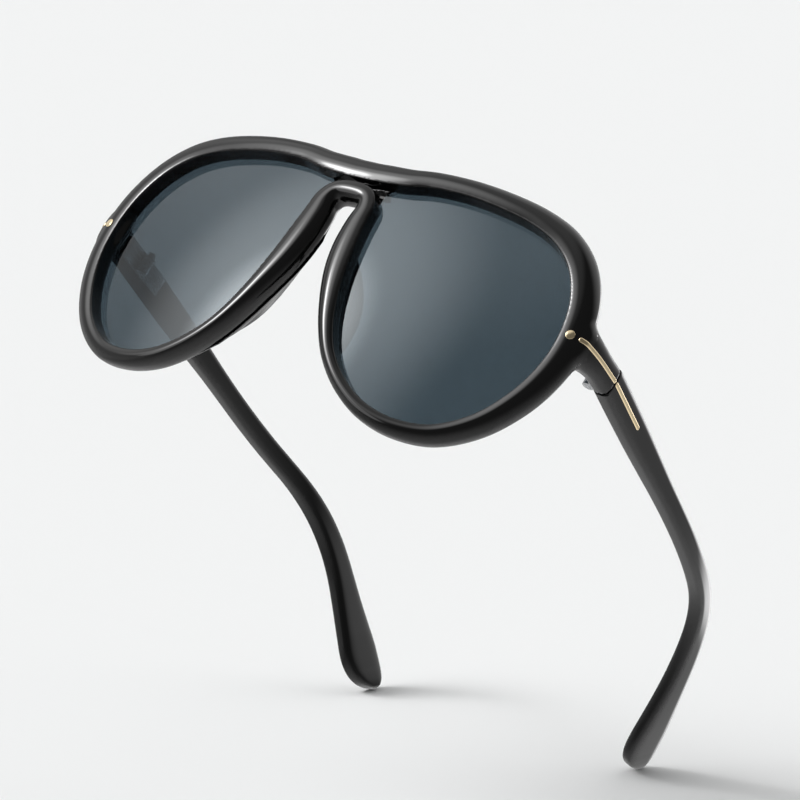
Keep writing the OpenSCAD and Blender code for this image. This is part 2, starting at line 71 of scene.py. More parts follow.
edgeRows = np.array(
    [(halfBridge * a, browLow + front["browDip"] * b, w) for a, b, w in browShares]
    + [(halfBridge + a * front["lensW"], front["lensTop"] - b * front["lensH"], w) for a, b, w in lensShares]
    + [(halfBridge * a, archTop - halfBridge * b, w) for a, b, w in archShares])
rowCount = len(edgeRows)


def edgeRow(i):
    if i < 0:
        return edgeRows[-i] * [-1, 1, 1]
    return edgeRows[2 * rowCount - 2 - i] * [-1, 1, 1] if i >= rowCount else edgeRows[i]


def edgeAt(u):  # point on the lens-side edge, the way out of the lens, and the rim's width
    i = min(int(u), rowCount - 2)
    t = u - i
    a, b, c, d = (edgeRow(i + k) for k in (-1, 0, 1, 2))
    p = b + t * ((c - a) / 2 + t * (a - 2.5 * b + 2 * c - d / 2 + t * (1.5 * b - 1.5 * c + (d - a) / 2)))
    v = (c - a) / 2 + t * (2 * a - 5 * b + 4 * c - d + t * (4.5 * b - 4.5 * c + 1.5 * (d - a)))
    out = np.array([-v[1], v[0]]) / math.hypot(v[0], v[1])
    return p[:2], out, p[2] * front["rimW"]


def onFront(x, z, h):  # x and z on the front's sphere and h in front of it, to space
    r = front["baseR"]
    k = (r + h) / r
    return np.stack([x * k, r - np.sqrt(r * r - x * x - z * z) * k, z * k], -1)


def offFront(p):  # space back to x, z and h
    r = front["baseR"]
    d = p - [0, r, 0]
    far = np.sqrt((d * d).sum(-1))
    return d[..., 0] * r / far, d[..., 2] * r / far, far - r


def smoothTable(places, values, count=600):  # rounded monotone curve through a short table
    x, y = np.array(places, float), np.array(values, float)
    step = np.diff(x)
    slope = np.diff(y) / step
    m = np.concatenate([[slope[0]], (slope[1:] + slope[:-1]) / 2, [slope[-1]]])
    m[1:-1][slope[1:] * slope[:-1] <= 0] = 0
    for i, s in enumerate(slope):
        if s == 0:
            m[i] = m[i + 1] = 0
        else:
            far = math.hypot(m[i] / s, m[i + 1] / s)
            if far > 3:
                m[i], m[i + 1] = m[i] * 3 / far, m[i + 1] * 3 / far
    q = np.linspace(x[0], x[-1], count)
    i = np.clip(np.searchsorted(x, q, "right") - 1, 0, len(step) - 1)
    t = (q - x[i]) / step[i]
    out = ((1 + 2 * t) * (1 - t) ** 2 * y[i] + t * (1 - t) ** 2 * step[i] * m[i]
           + t * t * (3 - 2 * t) * y[i + 1] + t * t * (t - 1) * step[i] * m[i + 1])
    return lambda s: np.interp(s, q, out)


def smoothMin(a, b, k):
    h = np.maximum(k - np.abs(a - b), 0) / k
    return np.minimum(a, b) - h * h * k / 4


def roundMax(a, b, r):  # what is in both, with the edge between them rounded to r
    return np.minimum(-r, np.maximum(a, b)) + np.sqrt(np.maximum(a + r, 0) ** 2 + np.maximum(b + r, 0) ** 2)


# the front as one smooth solid
edgeGrid = {
    "perRow": 36, "step": 0.25, "x": (-1.5, 83.5), "z": (-46, 29), "middle": 14, "chunk": 4000,
    "onEdge": 0.2, "blend": 0.35, "soften": (0.06, 0.24, 0.4, 0.24, 0.06),
}
edgeU = np.linspace(0, rowCount - 1, (rowCount - 1) * edgeGrid["perRow"] + 1)
edgeLine = [edgeAt(u) for u in edgeU]
edgeP = np.array([e[0] for e in edgeLine])
edgeN = np.array([e[1] for e in edgeLine])
edgeW = np.array([e[2] for e in edgeLine])


def layEdgeGrid():  # distance from the edge, rim width and place along the edge, on a flat grid
    step = edgeGrid["step"]
    gx = np.arange(*edgeGrid["x"], step)
    gz = np.arange(*edgeGrid["z"], step)
    x, z = np.meshgrid(gx, gz, indexing="ij")
    q = np.stack([x.ravel(), z.ravel()], 1)
    near = np.abs(edgeP[:, 0]) < edgeGrid["middle"]
    pts = np.concatenate([edgeP, edgeP[near][1:] * [-1, 1]])
    nrm = np.concatenate([edgeN, edgeN[near][1:] * [-1, 1]])
    wid = np.concatenate([edgeW, edgeW[near][1:]])
    row = np.concatenate([edgeU, edgeU[near][1:]])
    n, w, u = (np.zeros(len(q)) for k in range(3))
    for start in range(0, len(q), edgeGrid["chunk"]):
        now = slice(start, start + edgeGrid["chunk"])
        part = q[now]
        d2 = ((part[:, None, :] - pts[None]) ** 2).sum(-1)
        i = d2.argmin(1)
        away = part - pts[i]
        across = (away * nrm[i]).sum(1)
        far = np.sqrt(d2[np.arange(len(part)), i])
        n[now] = np.where(far < edgeGrid["onEdge"], across, np.sign(across) * far)
        pull = np.exp(-(np.sqrt(d2) - far[:, None]) / edgeGrid["blend"])
        w[now] = (pull * wid).sum(1) / pull.sum(1)
        u[now] = row[i]

    def soften(f):
        k = edgeGrid["soften"]
        for axis in (0, 1):
            pad = np.pad(f, [(2, 2) if a == axis else (0, 0) for a in (0, 1)], mode="edge")
            f = sum(k[j] * np.take(pad, range(j, j + f.shape[axis]), axis) for j in range(len(k)))
        return f
    return gx[0], gz[0], step, np.stack([soften(f.reshape(x.shape)) for f in (n, w, u)], -1)


gridX, gridZ, gridStep, gridData = layEdgeGrid()


def sampleEdge(x, z):  # smooth reading of the flat grid: n, w and u
    fx = np.clip((np.abs(x) - gridX) / gridStep, 1, gridData.shape[0] - 3.001)
    fz = np.clip((z - gridZ) / gridStep, 1, gridData.shape[1] - 3.001)
    ix, iz = fx.astype(int), fz.astype(int)
    tx, tz = fx - ix, fz - iz

    def pulls(t):
        return [((2 - t) * t - 1) * t / 2, ((3 * t - 5) * t * t + 2) / 2,
                ((4 - 3 * t) * t + 1) * t / 2, (t - 1) * t * t / 2]
    kx, kz = pulls(tx), pulls(tz)
    out = 0
    for a in range(4):
        for b in range(4):
            out = out + (kx[a] * kz[b])[..., None] * gridData[ix + a - 1, iz + b - 1]
    return out[..., 0], out[..., 1], out[..., 2]


endPiece = {
    "faceOut": 2.1, "length": 18.08, "drop": 5.2, "foreShare": 1.15, "templeT": 5.0, "templeH": 7.9,
    "jointGap": 0.2, "power": 3.0, "jointRound": 0.3, "foreRound": 1.6, "foreSet": 1.3,
    "fromX": 58, "clear": 50.0,
    # place from the front to the joint, then its outer side, inner side and half height as shares
    "rows": [(0, 0.80, 1.62, 0.30), (0.05, 0.52, 1.70, 0.50), (0.13, 0.27, 1.78, 0.66),
             (0.26, 0.13, 1.78, 0.70), (0.40, 0.05, 1.42, 0.62), (0.54, 0.01, 1.12, 0.55),
             (0.72, 0, 1, 0.51), (1, 0, 1, 0.5)],
}
outerX = halfBridge + front["lensW"] + front["rimW"] + endPiece["faceOut"]
foreX = outerX - endPiece["templeT"] * endPiece["foreShare"]
foreY = onFront(np.array(foreX), np.array(endPiece["drop"]), front["crestH"])[1]
faceY = foreY + endPiece["length"]
jointY = faceY + endPiece["jointGap"] / 2
endRows = np.array(endPiece["rows"])
endOut = smoothTable(endRows[:, 0], outerX - endRows[:, 1] * endPiece["templeT"])
endIn = smoothTable(endRows[:, 0], outerX - endRows[:, 2] * endPiece["templeT"])
endHalf = smoothTable(endRows[:, 0], endRows[:, 3] * endPiece["templeH"])


def rimField(n, w, u, h):
    c = w * front["crestShare"]
    q = np.maximum(n - c, 0) / (w - c)
    inward = np.clip((c - n) / c, 0, front["edgeDropMost"])
    edgeDrop = 1 - front["edgeDrop"] * inward ** 2  # the crest falls towards the lens
    across, high, whole = front["crestPowers"]
    top = (q ** across + (np.maximum(h, 0) / (front["crestH"] * edgeDrop)) ** high) ** (1 / whole)
    p = front["backPower"]
    low = (q ** p + (np.maximum(-h, 0) / front["backH"]) ** p) ** (1 / p)
    top, low = ((f - 1) * front["steep"] + front["trim"] for f in (top, low))
    body = np.where(h > 0, top, low)
    r = np.where(h > 0, front["edgeRound"], front["backRound"])
    a, b, c, d = front["flareRows"]  # behind the lens the wall opens outwards, fading out at the bridge
    wide = front["flareShare"] * w * np.clip((u - a) / (b - a), 0, 1) * np.clip((d - u) / (d - c), 0, 1)
    high = front["backH"] - front["flareFrom"]
    flare = (-n * high - (h + front["flareFrom"]) * wide) / np.hypot(high, wide)
    wall = roundMax(-n, flare, front["flareRound"])
    return roundMax(body, wall, r)


def endField(x, y, z):
    e = np.clip((y - foreY) / endPiece["length"], 0, 1)
    x1, x0, hz = endOut(e), endIn(e), endHalf(e)
    half = (x1 - x0) / 2
    p = endPiece["power"]
    ring = (np.abs((x - (x1 + x0) / 2) / half) ** p + np.abs((z + endPiece["drop"]) / hz) ** p) ** (1 / p)
    ring = (ring - 1) * np.minimum(half, hz)
    ring = roundMax(ring, foreY + endPiece["foreSet"] - y, endPiece["foreRound"])
    return roundMax(ring, y - faceY, endPiece["jointRound"])


web = {
    "setBack": 3.6, "wall": 0.4, "halfW": 8.1, "lean": 0.5, "leanFrom": 0.4, "over": 1.5, "round": 0.2,
    "blend": 0.5,
}


def frontField(n, w, u, x, y, z, h):
    rim = rimField(n, w, u, h)
    plate = roundMax(h - (front["crestH"] - web["setBack"]), -h - front["backH"] + web["wall"], web["round"])
    side = x - web["halfW"] - web["lean"] * (archTop - z + web["leanFrom"])
    rows = np.maximum(np.maximum(side, z - browLow - web["over"]), archTop - web["over"] - z)
    body = smoothMin(rim, roundMax(plate, rows, web["round"]), web["blend"])
    near = x > endPiece["fromX"]
    if near.any():
        end = np.full(np.broadcast(x, body).shape, endPiece["clear"])
        end[near] = endField(*(np.broadcast_to(f, end.shape)[near] for f in (x, y, z)))
        body = smoothMin(body, end, front["blend"])
    return body


pads = {
    "rows": (18.1, 21.9), "deep": 6.1, "rearW": 2.8, "seat": 0.5, "a": 0.20, "b": 0.82, "round": 0.95,
    "fillet": 2.0, "swell": (3, 174), "swellPower": 0.75, "rearIn": 0.8, "rearOut": 0.2, "belly": 0.8,
    "flank": 0.8, "rear": 0.9, "fade": 1.4, "reach": 0.8, "skin": 0.35,
}


def padField(n, w, u, h):
    seat = -front["backH"] + pads["seat"]
    first, last = pads["rows"]
    k = np.clip((u - first) / (last - first), 0, 1)
    swell = np.sin(np.radians(pads["swell"][0] + pads["swell"][1] * k)) ** pads["swellPower"]
    rear = seat - pads["deep"] * swell
    back = (seat - h) / pads["deep"]
    a = pads["a"] * w - (pads["a"] * w + pads["rearIn"] * pads["rearW"]) * back
    b = pads["b"] * w - (pads["b"] * w - pads["rearOut"] * pads["rearW"]) * back
    b = b + pads["belly"] * np.clip(back * (1 - back), 0, 1)
    body = roundMax((a - n) * pads["flank"], (n - b) * pads["flank"], pads["round"])
    body = roundMax(body, (rear - h) * pads["rear"], pads["round"])
    return np.maximum(body, np.maximum(first - u, u - last) * pads["fade"])


def padOnRim(n, w, u, h):  # the pad and a thin skin of the rim that it flows into
    pad = padField(n, w, u, h)
    rim = rimField(n, w, u, h)
    joined = smoothMin(rim, pad, pads["fillet"])
    return np.maximum(np.maximum(joined, pad - pads["fillet"] * pads["reach"]), -pads["skin"] - rim)


def netSurface(values, low, step, firstIsMiddle):  # one point in each cell that the surface crosses
    shape = np.array(values.shape)
    inside = values < 0
    cellIds, crossings, turned = [], [], []
    for axis in range(3):
        b, c = (axis + 1) % 3, (axis + 2) % 3
        one = np.eye(3, dtype=int)
        lowPart = tuple(slice(0, -1) if k == axis else slice(None) for k in range(3))
        highPart = tuple(slice(1, None) if k == axis else slice(None) for k in range(3))
        idx = np.argwhere(inside[lowPart] != inside[highPart])
        idx = idx[(idx[:, b] > 0) & (idx[:, c] > 0) & (idx[:, b] < shape[b] - 1) & (idx[:, c] < shape[c] - 1)]
        v0 = values[tuple(idx.T)]
        v1 = values[tuple((idx + one[axis]).T)]
        point = idx + (v0 / (v0 - v1))[:, None] * one[axis]
        ring = np.stack([idx, idx - one[b], idx - one[b] - one[c], idx - one[c]], 1)
        cellIds.append((ring * [shape[1] * shape[2], shape[2], 1]).sum(-1))
        crossings.append(point)
        turned.append(v0 > 0)
    cellIds = np.concatenate(cellIds)
    crossings = np.concatenate(crossings)
    turned = np.concatenate(turned)
    cells, inverse = np.unique(cellIds, return_inverse=True)
    inverse = inverse.reshape(cellIds.shape)
    count = np.bincount(inverse.ravel(), minlength=len(cells))
    sums = [np.bincount(inverse.ravel(), np.repeat(crossings[:, k], 4), len(cells)) for k in range(3)]
    points = np.stack([total / count for total in sums], 1)
    faces = np.where(turned[:, None], inverse[:, ::-1], inverse)
    middle = (cells // (shape[1] * shape[2]) == 0) & firstIsMiddle
    points = points * step + low
    points[middle, 0] = 0
    return points, faces, middle


def settle(points, field, middle, rounds=4):  # moves points onto the surface, and gives its normals
    tiny, mostMove, leastSlope = 0.01, 0.3, 1e-3
    for turn in range(rounds + 1):
        f = field(points)
        g = np.stack([(field(points + e) - field(points - e)) / (2 * tiny) for e in np.eye(3) * tiny], 1)
        if middle is not None:
            g[middle, 0] = 0
        size = np.maximum((g * g).sum(1), leastSlope)
        if turn < rounds:
            points = points - g * np.clip(f / size, -mostMove, mostMove)[:, None]
    return points, g / np.sqrt(size)[:, None]


def frontAt(p):
    x, z, h = offFront(p)
    n, w, u = sampleEdge(x, z)
    return frontField(n, w, u, np.abs(p[:, 0]), p[:, 1], p[:, 2], h)


def padAt(p):
    x, z, h = offFront(p)
    return padOnRim(*sampleEdge(x, z), h)


def gridOf(xs, zs, hs):  # n, w and u at each place on the sphere, the places in space, and their heights
    flat = [v[..., None] for v in np.meshgrid(xs, zs, indexing="ij")]
    h = np.broadcast_to(hs, (len(xs), len(zs), len(hs)))
    space = onFront(flat[0], flat[1], h)
    return *sampleEdge(*flat), space[..., 0], space[..., 1], space[..., 2], h


def linked(name, data):  # an object with this data, in the scene
    obj = bpy.data.objects.new(name, data)
    bpy.context.scene.collection.objects.link(obj)
    return obj


def meshPiece(name, points, faces, material, normals=None):
    mesh = bpy.data.meshes.new(name)
    mesh.from_pydata([tuple(v) for v in toRow(points)], [], [tuple(int(i) for i in f) for f in faces])
    mesh.materials.append(material)
    mesh.polygons.foreach_set("use_smooth", [True] * len(mesh.polygons))
    mesh.update()
    if normals is not None:
        mesh.normals_split_custom_set_from_vertices([tuple(v) for v in normals])
    return linked(name, mesh)


def softened(obj, sharp=180):  # smooth faces, with the edges over this angle kept sharp
    obj.data.polygons.foreach_set("use_smooth", [True] * len(obj.data.polygons))
    if sharp < 180:
        obj.data.set_sharp_from_angle(angle=math.radians(sharp))
    return obj


# materials
def srgb(code, alpha=1):
    value = int(code.lstrip("#"), 16)
    parts = [(value >> s & 255) / 255 for s in (16, 8, 0)]
    return (*[c / 12.92 if c <= 0.04045 else ((c + 0.055) / 1.055) ** 2.4 for c in parts], alpha)


def addNode(tree, kind, inputs=None, **settings):  # a node with its settings, values and links
    node = tree.nodes.new(kind)
    for name, value in settings.items():
        setattr(node, name, value)
    for name, value in (inputs or {}).items():
        if isinstance(value, bpy.types.NodeSocket):
            tree.links.new(value, node.inputs[name])
        else:
            node.inputs[name].default_value = value
    return node


def maths(tree, operation, *values):
    return addNode(tree, "ShaderNodeMath", dict(enumerate(values)), operation=operation).outputs[0]


def spread(tree, value, low, high, start, end, curve="LINEAR"):  # maps one span of values to another
    given = {"Value": value, "From Min": low, "From Max": high, "To Min": start, "To Max": end}
    return addNode(tree, "ShaderNodeMapRange", given, interpolation_type=curve).outputs[0]


def newMaterial(name):
    material = bpy.data.materials.new(name)
    material.use_nodes = True
    material.node_tree.nodes.clear()
    return material, material.node_tree


def noise(tree, where, scale, detail):
    given = {"Vector": where, "Scale": scale, "Detail": detail}
    return addNode(tree, "ShaderNodeTexNoise", given).outputs["Fac"]


acetate = {  # sizes in mm
    "colour": "#090909", "ior": 1.48, "rough": 0.022, "roughSwing": 0.012, "cloud": 2.2, "wave": 7.0,
    "waveDeep": 0.003,
}


def polishedAcetate():  # black cellulose acetate, tumbled and hand polished: deep gloss with a faint waviness
    material, tree = newMaterial("polishedAcetate")
    where = addNode(tree, "ShaderNodeTexCoord").outputs["Object"]
    wave = noise(tree, where, 1 / (acetate["wave"] * mm), 2.0)
    bump = addNode(tree, "ShaderNodeBump", {
        "Strength": 1.0, "Distance": acetate["waveDeep"] * mm, "Height": wave})
    cloud = noise(tree, where, 1 / (acetate["cloud"] * mm), 4.0)
    half = acetate["roughSwing"] / 2
    rough = spread(tree, cloud, 0.3, 0.7, acetate["rough"] - half, acetate["rough"] + half)
    shader = addNode(tree, "ShaderNodeBsdfPrincipled", {
        "Base Color": srgb(acetate["colour"]), "Roughness": rough, "IOR": acetate["ior"],
        "Normal": bump.outputs[0]})
    addNode(tree, "ShaderNodeOutputMaterial", {"Surface": shader.outputs[0]})
    return material


tint = {"colour": "#3e4b53", "rough": 0.015, "ior": 1.5, "coat": "#f1faff"}  # hard coat, a little blue


def tintedLens():  # smoke-grey polycarbonate: glassy and smooth, dyed so deep that little light comes through
    material, tree = newMaterial("smokePolycarbonate")
    shader = addNode(tree, "ShaderNodeBsdfPrincipled", {
        "Base Color": srgb(tint["colour"]), "Roughness": tint["rough"], "IOR": tint["ior"],
        "Transmission Weight": 1.0, "Specular Tint": srgb(tint["coat"])})
    addNode(tree, "ShaderNodeOutputMaterial", {"Surface": shader.outputs[0]})
    return material


brushing = {"along": 1, "stretch": 12, "swing": 0.2, "deep": 0.003, "strength": 0.4}  # 1 is Y; deep in mm
gold = {"colour": "#fbe6bd", "rough": 0.14, "grain": 0.25}
nickel = {"colour": "#b4b6b8", "rough": 0.28, "grain": 0.2}


def metalFinish(name, metal):  # metal with a fine directional brushing
    material, tree = newMaterial(name)
    where = addNode(tree, "ShaderNodeTexCoord").outputs["Object"]
    scale = [1 / (metal["grain"] * mm)] * 3
    scale[brushing["along"]] /= brushing["stretch"]
    fit = addNode(tree, "ShaderNodeMapping", {"Vector": where, "Scale": scale})
    lines = noise(tree, fit.outputs[0], 1.0, 3.0)
    least, most = metal["rough"] * (1 - brushing["swing"]), metal["rough"] * (1 + brushing["swing"])
    rough = spread(tree, lines, 0.3, 0.7, least, most)
    bump = addNode(tree, "ShaderNodeBump", {
        "Strength": brushing["strength"], "Distance": brushing["deep"] * mm, "Height": lines})
    shader = addNode(tree, "ShaderNodeBsdfPrincipled", {
        "Base Color": srgb(metal["colour"]), "Metallic": 1.0, "Roughness": rough, "Normal": bump.outputs[0]})
    addNode(tree, "ShaderNodeOutputMaterial", {"Surface": shader.outputs[0]})
    return material


acetateBlack = polishedAcetate()
lensSmoke = tintedLens()
goldPlate = metalFinish("goldPlatedBrass", gold)  # thin gold plating over brushed brass: warm, bright
nickelSteel = metalFinish("brushedNickelSteel", nickel)  # drawn hinge steel, nickel plated: cool grey
print("materials made")

# front piece
frontSpan = {"step": 0.4, "x": 81.6, "z": (-44.2, 27.0), "h": (-23.0, 4.4)}
step = frontSpan["step"]
xs = np.arange(-step / 2, frontSpan["x"], step)
zs = np.arange(*frontSpan["z"], step)
hs = np.arange(*frontSpan["h"], step)
values = frontField(*gridOf(xs, zs, hs))
flat, faces, middle = netSurface(values, np.array([xs[0], zs[0], hs[0]]), step, True)
points = onFront(flat[:, 0], flat[:, 1], flat[:, 2])
points[middle, 0] = 0
points, normals = settle(points, frontAt, middle)
points[middle, 0] = 0
other = np.where(middle, np.arange(len(points)), np.cumsum(~middle) - 1 + len(points))
allPoints = np.concatenate([points, points[~middle] * [-1, 1, 1]])
allNormals = np.concatenate([normals, normals[~middle] * [-1, 1, 1]])
allFaces = np.concatenate([faces, other[faces][:, ::-1]])
acetateFront = meshPiece("acetateFront", allPoints, allFaces, acetateBlack, allNormals)
print("front:", len(allPoints), "points")

# nose pads: glued behind the rims, each flowing into the rim's back
padSpan = {"step": 0.3, "x": (2.2, 23.5), "z": (-37.5, 8.1), "h": (-10.2, -1.5), "rounds": 3}
step = padSpan["step"]
xs, zs, hs = (np.arange(*padSpan[axis], step) for axis in "xzh")
n, w, u, *_, h = gridOf(xs, zs, hs)
values = padOnRim(n, w, u, h)
flat, faces, middle = netSurface(values, np.array([xs[0], zs[0], hs[0]]), step, False)
points, normals = settle(onFront(flat[:, 0], flat[:, 1], flat[:, 2]), padAt, None, padSpan["rounds"])
nosePads = {}
for side, s in sides.items():
    flip = [s, 1, 1]
    order = faces if s > 0 else faces[:, ::-1]
    nosePads[side] = meshPiece("nosePad_" + side, points * flip, order, acetateBlack, normals * flip)
print("nose pads:", len(points), "points each")

# lenses
lens = {
    "seat": 0.6, "firstU": 1.75, "lastU": 24.25, "cornerShare": 0.96, "cornerWay": (-1, 0.3),
    "rings": 26, "around": 300, "sharp": 40,
}
lensU = np.linspace(lens["firstU"], lens["lastU"], lens["around"])
outline = [p + o * lens["seat"] for p, o, _ in (edgeAt(u) for u in lensU)]
corner = np.array([halfBridge * lens["cornerShare"], (browLow + archTop) / 2 - front["browGap"]])
outline.append(corner + lens["seat"] * np.array(lens["cornerWay"]) / math.hypot(*lens["cornerWay"]))
outline = np.array(outline)
heart = np.array([halfBridge + front["lensW"] / 2, front["lensTop"] - front["lensH"] / 2])
count = len(outline)
flat = [np.array([heart])]
for k in range(1, lens["rings"] + 1):
    flat.append(heart + (outline - heart) * (k / lens["rings"]))
flat = np.concatenate(flat)
lensFaces = []
for layer, high in enumerate((True, False)):
    base = layer * len(flat)
    for j in range(count):
        nxt = (j + 1) % count
        tri = [base, base + 1 + j, base + 1 + nxt]
        lensFaces.append(tri if high else tri[::-1])
        for k in range(lens["rings"] - 1):
            a, b = base + 1 + k * count + j, base + 1 + k * count + nxt
            quad = [a, a + count, b + count, b]
            lensFaces.append(quad if high else quad[::-1])
last = 1 + (lens["rings"] - 1) * count
for j in range(count):
    nxt = (j + 1) % count
    lensFaces.append([last + j, len(flat) + last + j, len(flat) + last + nxt, last + nxt])
lensPoints = np.concatenate([
    onFront(flat[:, 0], flat[:, 1], np.full(len(flat), h))
    for h in (-front["lensSet"], -front["lensSet"] - front["lensT"])])


def outward(obj, slivers=False):  # merges doubles, clears slivers if asked and turns every face outwards
    bm = bmesh.new()
    bm.from_mesh(obj.data)
    bmesh.ops.remove_doubles(bm, verts=bm.verts, dist=1e-7)
    if slivers:
        bmesh.ops.dissolve_degenerate(bm, edges=bm.edges, dist=1e-8)
    bmesh.ops.recalc_face_normals(bm, faces=bm.faces)
    bm.to_mesh(obj.data)
    bm.free()
    obj.data.update()
    return obj


lenses = {}
for side, s in sides.items():
    obj = outward(meshPiece("lens_" + side + "_tinted", lensPoints * [s, 1, 1], lensFaces, lensSmoke))
    obj.data.set_sharp_from_angle(angle=math.radians(lens["sharp"]))
    lenses[side] = obj
print("lenses made")

# loft along a path, for temples and strips
loftTree = bpy.data.node_groups.new("loftAlongPath", "GeometryNodeTree")
loftTree.is_modifier = True
for name, kind in (("Path", "Geometry"), ("Around", "Int"), ("Squareness", "Float"), ("Finish", "Material")):
    loftTree.interface.new_socket(name=name, in_out="INPUT", socket_type="NodeSocket" + kind)
loftTree.interface.new_socket(name="Solid", in_out="OUTPUT", socket_type="NodeSocketGeometry")


def buildLoft(tree):  # each path point carries half its width in "across" and half its height in "rise"
    given = addNode(tree, "NodeGroupInput").outputs
    size = addNode(tree, "GeometryNodeAttributeDomainSize", {0: given["Path"]}, component="MESH")
    ring = maths(tree, "ADD", given["Around"], 1.0)
    sheet = addNode(tree, "GeometryNodeMeshGrid", {
        "Vertices X": size.outputs["Point Count"], "Vertices Y": ring})
    index = addNode(tree, "GeometryNodeInputIndex").outputs[0]
    station = maths(tree, "FLOOR", maths(tree, "DIVIDE", index, ring))
    turn = maths(tree, "SUBTRACT", index, maths(tree, "MULTIPLY", station, ring))
    angle = maths(tree, "MULTIPLY", maths(tree, "DIVIDE", turn, given["Around"]), 2 * math.pi)
    shares = []
    for kind in ("COSINE", "SINE"):
        wave = maths(tree, kind, angle)
        reach = maths(tree, "POWER", maths(tree, "ABSOLUTE", wave), given["Squareness"])
        shares.append(maths(tree, "MULTIPLY", reach, maths(tree, "SIGN", wave)))

    def atStation(field):
        wanted = {"Geometry": given["Path"], "Value": field, "Index": station}
        node = addNode(tree, "GeometryNodeSampleIndex", wanted, data_type="FLOAT_VECTOR", domain="POINT")
        return node.outputs[0]

    total = atStation(addNode(tree, "GeometryNodeInputPosition").outputs[0])
    for label, share in zip(("across", "rise"), shares):
        named = addNode(tree, "GeometryNodeInputNamedAttribute", {"Name": label}, data_type="FLOAT_VECTOR")
        value = atStation(named.outputs["Attribute"])
        part = addNode(tree, "ShaderNodeVectorMath", {0: value, "Scale": share}, operation="SCALE")
        both = addNode(tree, "ShaderNodeVectorMath", {0: total, 1: part.outputs[0]}, operation="ADD")
        total = both.outputs[0]
    placed = addNode(tree, "GeometryNodeSetPosition", {"Geometry": sheet.outputs["Mesh"], "Position": total})
    merged = addNode(tree, "GeometryNodeMergeByDistance", {"Geometry": placed.outputs[0], "Distance": 1e-6})
    smooth = addNode(tree, "GeometryNodeSetShadeSmooth", {
        "Geometry": merged.outputs[0], "Shade Smooth": True})
    real = addNode(tree, "GeometryNodeRealizeInstances", {"Geometry": smooth.outputs[0]})
    dressed = addNode(tree, "GeometryNodeSetMaterial", {
        "Geometry": real.outputs[0], "Material": given["Finish"]})
    addNode(tree, "NodeGroupOutput", {"Solid": dressed.outputs[0]})


buildLoft(loftTree)


def runTree(obj, tree, values):  # sets the named inputs, then turns the tree's result into a plain mesh
    mod = obj.modifiers.new(tree.name, "NODES")
    mod.node_group = tree
    for item in tree.interface.items_tree:
        if item.in_out == "INPUT" and item.name in values:
            mod[item.identifier] = values[item.name]
    obj.update_tag()
    depsgraph = bpy.context.evaluated_depsgraph_get()
    done = bpy.data.meshes.new_from_object(obj.evaluated_get(depsgraph))
    obj.modifiers.remove(mod)
    obj.data = done
    done.name = obj.name
    return outward(obj)


def loftPiece(name, centre, across, rise, squareness, around, finish):
    mesh = bpy.data.meshes.new(name)
    mesh.from_pydata([tuple(v) for v in toRow(centre)], [(i, i + 1) for i in range(len(centre) - 1)], [])
    for label, data in (("across", across), ("rise", rise)):
        attribute = mesh.attributes.new(label, "FLOAT_VECTOR", "POINT")
        attribute.data.foreach_set("vector", (np.asarray(data) * mm).astype(np.float32).ravel())
    values = {"Around": around, "Squareness": squareness, "Finish": finish}
    return softened(runTree(linked(name, mesh), loftTree, values))


# temples
temple = {
    "length": 146.0, "height": 7.9, "slim": 5.2, "paddle": 12.9, "thick": 5.0, "paddleThick": 4.2,
    "toeIn": 3.5, "earIn": 32.8, "turnIn": (0.314, 0.917), "fall": 3.6, "earDown": 43.0,
    "turnDown": (0.534, 0.834), "tilt": 0.1, "tipTurn": (0.56, 0.806), "tableShare": 1.00702,
    "squareness": 0.5, "around": 64, "fine": 2000,
    # place along the temple, then its height, its thickness and the tip's lift as shares
    "rows": [(0.03, 1.00, 0.02, 0), (0.08, 0.95, 0.08, 0), (0.15, 0.82, 0.20, 0), (0.23, 0.48, 0.32, 0),
             (0.30, 0.16, 0.42, 0), (0.37, 0.02, 0.48, 0), (0.44, 0, 0.52, 0), (0.50, 0, 0.58, 0),
             (0.555, 0, 0.66, 0), (0.60, 0.02, 0.74, 0), (0.64, 0.07, 0.80, 0), (0.68, 0.13, 0.85, 0),
             (0.72, 0.20, 0.90, 0), (0.76, 0.27, 0.94, 0), (0.80, 0.36, 0.97, 0), (0.84, 0.52, 1, 0),
             (0.89, 0.78, 1, 0), (0.935, 1, 1, 0), (0.958, 0.94, 1.05, 0.05), (0.975, 0.72, 1.20, 0.15),
             (0.988, 0.34, 1.60, 0.28), (0.996, -0.14, 2.30, 0.40), (1, -0.44, 3.10, 0.46)],
}
jointPt = np.array([outerX - temple["thick"] / 2, jointY + endPiece["jointGap"] / 2, -endPiece["drop"]])


def turned(s, span):
    t = np.clip((s / temple["length"] - span[0]) / (span[1] - span[0]), 0, 1)
    return t * t * (3 - 2 * t)


def heading(s):
    a = math.radians(temple["toeIn"] + (temple["earIn"] - temple["toeIn"]) * turned(s, temple["turnIn"]))
    b = math.radians(temple["fall"] + (temple["earDown"] - temple["fall"]) * turned(s, temple["turnDown"]))
    return np.array([-math.sin(a) * math.cos(b), math.cos(a) * math.cos(b), -math.sin(b)])


def templeFrame(s):  # across and up at distance s along the temple
    t = heading(s)
    r = np.array([0, temple["tilt"] + turned(s, temple["tipTurn"]), 1])
    up = r - t * (r @ t)
    up /= np.linalg.norm(up)
    return np.cross(t, up), up


